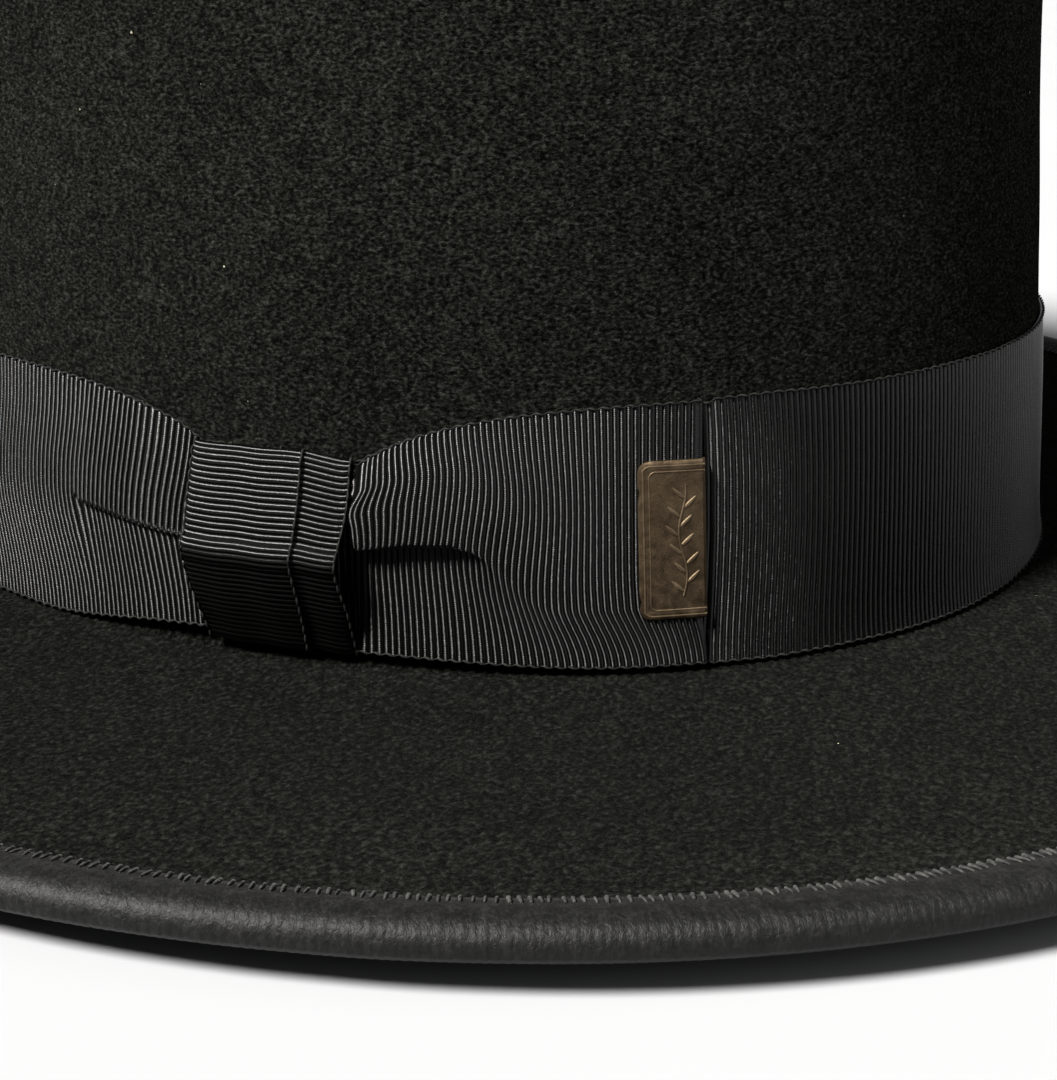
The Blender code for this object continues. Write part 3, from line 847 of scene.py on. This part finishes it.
def pleated(u, v, section, gap):
    """Height and lift across a gathered loop. The upper half overlaps the lower one in a pleat."""
    top, bottom, lip, depth, bulge = section(u)
    stops = np.array([0.0, 0.17, 0.34, 0.41, 0.46, 0.50, 0.53, 0.68, 0.84, 1.0])
    smooth_z = [
        mix(bottom, lip, 2 * stop) if stop < 0.5 else mix(lip, top, 2 * stop - 1) for stop in stops
    ]
    fold_z = [bottom, mix(bottom, lip, 0.45), lip - gap * 0.8, lip + 1.2, lip + 2.2, lip + 0.8, lip]
    fold_z += [mix(lip, top, 0.36), mix(lip, top, 0.72), top]
    rise = [(z - bottom) / (top - bottom) for z in smooth_z]
    plain_off = [bulge * np.interp(a, HUMP_AT, HUMP) + 0.35 * (1 - a) ** 4 for a in rise]
    fold_off = [0.35, 0.12, -0.06, -0.15, 0.03]
    fold_off += [bulge * a for a in (0.72, 0.95, 1.1, 0.85, 0.0)]
    z_stops = np.stack([mix(a, b, depth) for a, b in zip(smooth_z, fold_z)])
    off_stops = np.stack([LOOP_OFF + mix(p, f, depth) for p, f in zip(plain_off, fold_off)])
    share = np.interp(v, stops, np.linspace(0, 1, len(stops)))
    found = curve_through(np.stack([z_stops, off_stops], -1), share)
    return found[..., 0].T, found[..., 1].T


def make_loop(name, node, knot_edge, direction, section, gap, shift):
    """One gathered loop, from inside the knot to its folded end and back under itself."""
    front_u = rib_stations(-TUCK, LOOP_LENGTH - 0.5)
    bend = np.linspace(0, math.pi, 12)[1:-1]
    back_u = np.linspace(LOOP_LENGTH - 0.5, 6.0, 40)
    v = np.linspace(0, 1, 58)
    u = np.concatenate([front_u, LOOP_LENGTH - 0.5 + 0.75 * np.sin(bend), back_u])
    layer = np.concatenate([np.zeros(len(front_u)), (1 - np.cos(bend)) / 2, np.ones(len(back_u))])
    z, off = pleated(u, v, section, gap)
    tucked = between(u, 1.2, -1.8)[:, None]
    off = off * (1 - tucked * (0.42 + 0.22 * between(v, 0.45, 0.0)[None]))
    off = off + foot_flare(z, 0.1) * between(u, 0, 4)[:, None]
    off = mix(off, BACK_OFF, layer[:, None])
    side_shift = shift(u[:, None], v[None])
    s = knot_edge + direction * (u[:, None] + side_shift * (1 - layer[:, None]))
    face = on_crown(s, off, z)
    path = distances(np.stack([u, off[:, len(v) // 2 - 1]], -1)) - TUCK
    relief = ribbed(u, len(v)) * (layer < 1)[:, None]
    if direction < 0:
        face, relief, z = face[:, ::-1], relief[:, ::-1], z[:, ::-1]
    parts = Parts()
    slots = painted_shade_slots(front_u, RIB, VALLEY_SHARE, len(v))
    add_sheet(parts, face, path[:, None], z, relief, 0.22, slots=slots)
    add_selvedges(parts, face, len(front_u) + len(bend))
    piece = settle_ribbon(parts, name, node)


def rear_shift(u, v):
    """How far each rib of the rear loop strays from a straight line, along the oval."""
    near = np.exp(-np.clip(u, 0, None) / 7.0)
    tuck = near * (2.1 * between(v, 0.69, 0.85) + 0.8 * between(v, 0.80, 0.6) - 0.5)
    tuck = tuck * between(u, -2, 1)
    belly = 0.9 * np.sin(math.pi * between(v, 0.5, 1.0))
    belly = belly * between(u, 0, 8) * (1 - between(u, 20, 36))
    lean = 3.0 * (between(v, 0.62, 0.0) - 0.35) * between(u, 8, 26)
    lean = lean * (1 - 0.55 * between(u, 34, 46))
    low_lean = 0.6 * between(v, 0.36, 0.0) * between(u, 0, 4) * (1 - between(u, 14, 26))
    return tuck + belly + lean + low_lean + 0.15 * np.sin(u / 5.0 + 4 * v)


def front_shift(u, v):
    """The same for the front loop. Positive is away from the knot."""
    apex = 0.9 + 1.5 * between(u, 2, 10) * (1 - 0.5 * between(u, 26, 45))
    above = (0.9 + apex) * between(v, 0.5, 0.9) * (1 - 0.5 * between(u, 2, 10))
    below = (1.9 + 1.4 * between(u, 1, 9)) * between(v, 0.5, 0.0)
    return (apex - above - below) * between(u, -3, 1) + 0.2 * np.sin(u / 6.0 + 3 * v)


def knot_profile():
    """Section of the knot from its top edge, over the crest, to its foot: lift, height."""
    crest = turn(4.9, 18.4, 2.4, 55, -38, 8)
    start = [(1.2, 30.6), (2.3, 31.7), (3.2, 31.2)]
    upper = [(3.8, 29.3), (4.7, 26.1), (5.6, 23.0)]
    lower = [(5.9, 14.2), (4.7, 10.6), (3.5, 7.3), (2.7, 5.1), (2.0, 4.4), (1.1, 4.6)]
    return np.array(start + upper + [tuple(p) for p in crest] + lower)


def make_knot():
    """Ribbon wrapped round the middle of the bow. Its ribs run across, and one edge overlaps."""
    outline = curve_through(knot_profile(), np.linspace(0, 1, 400))
    length = distances(outline)
    pitch = KNOT_RIB
    u = rib_stations(0, length[-1], pitch)
    lift = np.interp(u, length, outline[:, 0])
    z = np.interp(u, length, outline[:, 1])
    parts = Parts()
    pinch = peak(z, 18.0, 5.5)
    seam = 24.9 - 0.6 * pinch
    left = KNOT_FRONT + 0.55 + 0.15 * pinch + 1.7 * between(z, 17, 4)
    right = KNOT_BACK - 1.1 * pinch + 0.3 * between(z, 9, 4)
    flaps = ((seam - 3.2, right, -0.55, 14, True), (left, seam, 0.0, 26, False))
    for first, last, sink, count, under in flaps:
        v = np.linspace(0, 1, count)
        s = mix(first[:, None], last[:, None], v[None])
        rounding = -0.9 * between(s, KNOT_FRONT + 1.6, KNOT_FRONT - 0.3)
        rounding = rounding - 0.5 * under * between(s, KNOT_BACK - 1.0, KNOT_BACK + 0.3)
        off = lift[:, None] + sink + rounding + 0.12 * np.sin(s * 0.9 + z[:, None] * 0.1)
        droop = between(s, 24.0, KNOT_BACK) * (0.35 + 0.65 * between(z[:, None], 16, 30)) * under
        face = on_crown(s, off, z[:, None] - droop)
        relief = ribbed(u, count, 0.55, pitch, TIGHT_TURN)
        slots = painted_shade_slots(u, pitch, VALLEY_SHARE, count)
        add_sheet(parts, face, u[:, None], v[None] * 22.0, relief, 0.22, slots=slots)
        add_selvedges(parts, face, proud=0.08, radius=0.14, pitch=pitch)
    piece = settle_ribbon(parts, "bow_knot_grosgrain", "bow_knot")


# Brass tag


def tag_frame(x, y, lift):
    """Points on the tag: x from its free edge to the fold, y up from its foot."""
    z = TAG_LOW + y
    s = KNOT_BACK + LOOP_LENGTH + TAG_FOLD - TAG_WIDE + x
    return on_crown(s + (z - 20.7) * TAG_LEAN, 1.7 + lift, z)


def make_tag():
    """Antique brass plate folded round the loop's end, with a double border and a leaf spray."""
    height = TAG_HIGH - TAG_LOW
    width, corner = TAG_WIDE, 1.7
    ends = np.linspace(0, corner, 9)
    y = np.concatenate([ends, np.linspace(corner, height - corner, 24)[1:-1], height - ends[::-1]])
    reach = np.minimum(y, height - y)
    cut = corner - np.sqrt(np.clip(corner**2 - np.clip(corner - reach, 0, None) ** 2, 0, None))
    left = (cut + 0.32 * (peak(y, 2.6, 0.5) + peak(y, 17.0, 0.5)))[:, None]
    x = mix(left, width, np.linspace(0, 1, 16)[None])
    edge = np.minimum(np.minimum(reach[:, None], x - left + 0.02), 0.5) / 0.5
    rounding = -0.22 * (1 - np.sqrt(np.clip(edge * (2 - edge), 0, 1)))
    fold = -1.0 * (1 - np.sqrt(np.clip(1 - np.clip((x - (width - 0.45)) / 0.5, 0, 1) ** 2, 0, 1)))
    hollow = -0.10 * between(x, 1.0, 1.5) * between(reach, 1.0, 1.5)[:, None]
    top = tag_frame(x, y[:, None], 0.45 + rounding + fold + hollow)
    bottom = tag_frame(x, y[:, None], np.minimum(fold, 0.0) - 0.05)
    parts = Parts()
    add_plate(parts, top, bottom)

    def raised(x, y, lift, radius, **shape):
        add_tube(parts, tag_frame(x, y, lift), radius, slot=1, up=(1, 0.6, 0), **shape)

    for inset, radius in ((0.62, 0.13), (1.38, 0.10)):
        bend = inset + 0.5
        line = [(width - 0.3, inset), (bend, inset), (inset, bend)]
        line = respaced(line + [(x, height - y) for x, y in line[::-1]], 70)
        raised(line[:, 0], line[:, 1], 0.42 - 0.05 * inset, radius)

    def stem(y):
        return 5.6 + 0.5 * np.sin((y - 3.2) * 0.55)

    stem_y = np.linspace(3.2, height - 3.2, 60)
    raised(stem(stem_y), stem_y, 0.36, 0.11)
    leaf = np.linspace(0, 1, 9)
    size = 0.06 + 0.24 * np.sin(math.pi * leaf) ** 0.8
    for k in range(11):
        foot, side = 3.8 + k * 1.25, 1 if k % 2 else -1
        raised(stem(foot) + side * 1.7 * leaf, foot + 1.5 * leaf**1.3, 0.34, size, flatten=0.5)
    back = np.meshgrid(width - 0.2 - np.linspace(0, 5.0, 8), np.linspace(0.4, height - 0.4, 10))
    add_plate(parts, tag_frame(*back, -1.05), tag_frame(*back, -0.85))
    piece = parts.build("brass_tag", [BRASS, WORN_BRASS], 40)
    return settle(piece, "antique_brass", "metal_tag")


# Inside of the hat


def strip_mesh(name, section, slot_name, node, material, columns=500, ripple=None):
    """A strip that runs round the oval with a closed section, open by a hair at the back."""
    section = np.asarray(section, float)
    angles = math.pi / 2 + np.radians(np.linspace(0.25, 359.75, columns))
    points = place(angles[:, None], section[None, :, 0], section[None, :, 1])
    if ripple is not None:
        points = points + ripple(angles, section)
    across = distances(section)
    uv = cloth_uv((angles / math.tau * PERIMETER)[:, None], across)
    parts = Parts()
    parts.add(points, grid_faces(columns, len(section), wrap_columns=True, flip=True), uv)
    count = len(section)
    k = np.arange(count // 2 - 1)
    cap = np.stack([k, k + 1, count - 2 - k, count - 1 - k], -1) - parts.count
    for faces in (cap, cap[:, ::-1] + (columns - 1) * count):
        parts.add(np.zeros((0, 3)), faces, np.zeros((0, 2)))
    return settle(parts.build(name, [material], 60), slot_name, node)


def make_sweatband():
    """Leather band with a rolled top edge and creased lines."""
    out, thick, low, high = -3.4, 1.1, 3.1, 42.0
    z = np.linspace(low, high - 0.5, 30)
    outer = np.stack([out - crown_inset(z), z], -1)
    groove = 0.16 * (peak(z, 38.6, 0.25) + peak(z, 5.4, 0.25))
    inner = np.stack([out - thick + groove - crown_inset(z), z], -1)[::-1]
    top = turn(out - thick / 2 - float(crown_inset(high)), high - 0.55, thick / 2, 10, 170, 6)
    section = np.concatenate([outer, top, inner])
    piece = strip_mesh("leather_sweatband", section, "leather", "sweatband", LEATHER)


def make_reed_and_tape():
    """Round reed and the folded tape that holds it to the sweatband."""
    reed = turn(REED_RADIAL, REED_HEIGHT, 0.5, 0, 330, 12)
    strip_mesh("reed_ring", reed, "reed", "sweatband_reed", REED)
    outer, inner = 1.1, 0.8
    flange = REED_RADIAL + outer * math.cos(math.radians(50)) + 0.1
    loop = turn(REED_RADIAL, REED_HEIGHT, outer, 130, 410, 12)
    back = turn(REED_RADIAL, REED_HEIGHT, inner, 410, 130, 12)
    section = np.concatenate([loop, [(flange, 7.5), (flange - 0.3, 7.5)], back])
    piece = strip_mesh("reed_tape_cotton", section, "tape", "reed_tape", TAPE)


def make_lining():
    """Satin side panel with soft gathers, and the oval tip panel with a corded seam."""
    z = np.linspace(8.5, SHOULDER_HIGH - 2, 36)
    outer = np.stack([-2.3 - crown_inset(z), z], -1)
    bend = turn(SHOULDER_IN, SHOULDER_HIGH, CROWN_EDGE - 2.3, 0, 40, 5)
    bend_in = turn(SHOULDER_IN, SHOULDER_HIGH, CROWN_EDGE - 2.6, 40, 0, 5)
    inner = np.stack([-2.6 - crown_inset(z), z], -1)[::-1]
    section = np.concatenate([outer, bend, bend_in, inner])

    def gathers(angles, section):
        depth = between(section[:, 1], 100, 134)[None, :, None] * 0.28
        folds = (np.sin(angles * 93) + 0.5 * np.sin(angles * 61 + 1))[:, None, None] - 1.5
        outward = np.stack([np.cos(angles), np.sin(angles), 0 * angles], -1)[:, None]
        return outward * folds * depth

    side = strip_mesh("satin_side_lining", section, "satin", "lining_side", SATIN, 760, gathers)
    high = CROWN_TOP - FELT - 0.7
    columns, rings = 240, 30
    angles = np.arange(columns) * math.tau / columns
    radial = np.linspace(-5.7, TIP_FLAT, rings)
    rim = place(angles[None], radial[:, None], high)
    shares = np.linspace(1, 0, 12)[1:, None, None]
    middle = rim[-1][None] * (1, 1, 0) * shares + (0, 0, high)
    disc = np.concatenate([rim, middle])
    disc[..., 2] -= 0.5 * between(np.hypot(disc[..., 0] / 80, disc[..., 1] / 100), 1.0, 0.3)
    parts = Parts()
    uv = disc[..., :2] * 0.01
    faces = grid_faces(len(disc), columns, wrap_columns=True)
    half, j = len(disc) * columns, np.arange(columns)
    j2 = (j + 1) % columns
    edge_faces = np.stack([j, half + j, half + j2, j2], -1)
    both = np.concatenate([faces[:, ::-1], faces + half, edge_faces])
    parts.add(np.stack([disc, disc - (0, 0, 0.3)]), both, np.stack([uv, uv]))
    add_tube(parts, place(angles, -6.4, high - 0.75), 0.45, sides=8, wrap=True)
    tip = settle(parts.build("satin_tip_lining", [SATIN], 180), "satin", "lining_tip")


def make_inner_bow():
    """Small ribbon bow over the sweatband's joint at the back."""
    low, high = box("sweatband_bow")
    near, far = high[1], low[1]
    middle = (low[2] + high[2]) / 2
    parts = Parts()
    t, w = np.linspace(0, 1, 24)[:, None], np.linspace(-1, 1, 9)[None]
    z = middle + w * (1.5 + 1.7 * np.sin(t * math.pi / 2))
    y = far + 0.35 - 0.25 * np.sin(math.pi * t) * (1 - w**2) + 0.10 * np.cos(w * 9)
    for side in (-1, 1):
        face = np.stack(np.broadcast_arrays(side * (0.8 + 8.0 * t), y, z), -1)[:, ::side]
        add_sheet(parts, face, t * 8, w * 3, 0.0, 0.25)
        back = face.copy()
        back[..., 1] = near - 0.15
        add_sheet(parts, back, t * 8, w * 3, 0.0, 0.2)
    angle = np.linspace(0, math.tau, 25)[:-1]
    w = np.linspace(-1.1, 1.1, 7)
    wrap_y = (near + far) / 2 + (near - far) / 2 * 1.05 * np.cos(angle)
    wrap_z = middle + 1.75 * np.sin(angle)
    x, y = np.broadcast_arrays(w[None], wrap_y[:, None])
    z = np.broadcast_to(wrap_z[:, None], x.shape)
    add_sheet(parts, np.stack([x, y, z], -1), angle[:, None], w[None], 0.0, 0.12, wrap=True)
    piece = settle(parts.build("sweatband_bow_ribbon", [SATIN], 60), "satin", "sweatband_bow")


def make_ticket():
    """Blank paper ticket tucked behind the sweatband."""
    low, high = box("size_ticket")
    angle = np.radians(np.linspace(60.5, 74.5, 20))
    z = np.linspace(low[2], high[2], 14)
    curl = np.sin(np.linspace(0, math.pi, 20))[:, None] * np.linspace(0.2, 1, 14)[None]
    off = -2.95 - 0.15 * curl
    face = place(angle[:, None], off - crown_inset(z)[None], z[None])
    parts = Parts()
    add_sheet(parts, face, angle[:, None] * 90, z[None], 0.0, 0.15)
    settle(parts.build("paper_size_ticket", [PAPER], 60), "paper", "size_ticket")


make_felt()
make_band()
make_binding()
for name, edge, direction, section, gap, shift in (
    ("bow_front_loop", KNOT_FRONT + 0.6, -1, front_section, 1.1, front_shift),
    ("bow_rear_loop", KNOT_BACK - 0.2, 1, rear_section, 3.6, rear_shift),
):
    make_loop(name + "_grosgrain", name, edge, direction, section, gap, shift)
make_knot()
make_tag()
make_sweatband()
make_reed_and_tape()
make_lining()
make_inner_bow()
make_ticket()


# Floor, light and camera


def make_floor():
    mesh = bpy.data.meshes.new("floor")
    corners = [(12 * x, 12 * y, 0) for x, y in ((-1, -1), (1, -1), (1, 1), (-1, 1))]
    mesh.from_pydata(corners, [], [(0, 1, 2, 3)])
    n = Nodes("floor")
    tone = n.noise(n.place, 0.004, 2.0)
    colour = n.colours(tone, (0.3, (0.205, 0.207, 0.213)), (0.7, (0.211, 0.213, 0.219)))
    mesh.materials.append(n.finish(Base_Color=colour, Roughness=0.9, Specular_IOR_Level=0.2))
    floor = link("floor", mesh)
    floor.location = (0, 0, -0.0006)


def heading(azimuth, elevation):
    """Unit vector at an azimuth, from +X towards +Y, and an elevation, in degrees."""
    a, e = math.radians(azimuth), math.radians(elevation)
    return Vector((math.cos(a) * math.cos(e), math.sin(a) * math.cos(e), math.sin(e)))


def make_sun(name, azimuth, elevation, strength, spread, colour):
    """A wide soft light from far off."""
    light = bpy.data.lights.new(name, "SUN")
    light.energy, light.angle, light.color = strength, math.radians(spread), colour
    lamp = link(name, light)
    away = heading(azimuth, elevation)
    lamp.location = away * 2.0
    lamp.rotation_mode = "QUATERNION"
    lamp.rotation_quaternion = away.to_track_quat("Z", "Y")


def make_world():
    """White towards the horizon and dim above, with a dark flag facing the bow."""
    n = Nodes("studio", bpy.data.worlds, "Background")
    where = n.new("ShaderNodeTexCoord").outputs["Generated"]
    inputs = {0: where, 1: heading(FLAG, 0)}
    facing = n.new("ShaderNodeVectorMath", inputs, operation="DOT_PRODUCT").outputs["Value"]
    sky = n.colours(n.split(where)[2], (0.06, 0.93), (0.40, 0.12))
    flag = n.colours(facing, (0.45, 1.0), (0.80, 0.08))
    bpy.context.scene.world = n.finish(Color=n.mixed(1.0, sky, flag, "MULTIPLY"))


def make_camera():
    """At the photograph's angle, level with the crown's foot, close to the bow."""
    data = bpy.data.cameras.new("camera")
    data.sensor_width, data.lens = 36.0, CAMERA_LENS
    data.shift_x, data.shift_y = CAMERA_SHIFT
    data.clip_start = 0.01
    back = heading(CAMERA_AZIMUTH, CAMERA_ELEVATION)
    right = Vector((0, 0, 1)).cross(back).normalized()
    turned = Matrix((right, back.cross(right), back)).transposed().to_4x4()
    camera = link("camera", data)
    camera.matrix_world = (
        Matrix.Translation(Vector(CAMERA_AIM) + back * CAMERA_DISTANCE)
        @ turned
        @ Matrix.Rotation(math.radians(CAMERA_ROLL), 4, "Z")
    )
    bpy.context.scene.camera = camera


make_floor()
make_world()
make_sun("key", -28, 50, 18.0, 14.0, (1.0, 0.985, 0.955))
make_sun("fill", 96, 34, 1.0, 50.0, (1.0, 1.0, 1.0))
make_camera()
bpy.context.scene.view_settings.view_transform = "Standard"
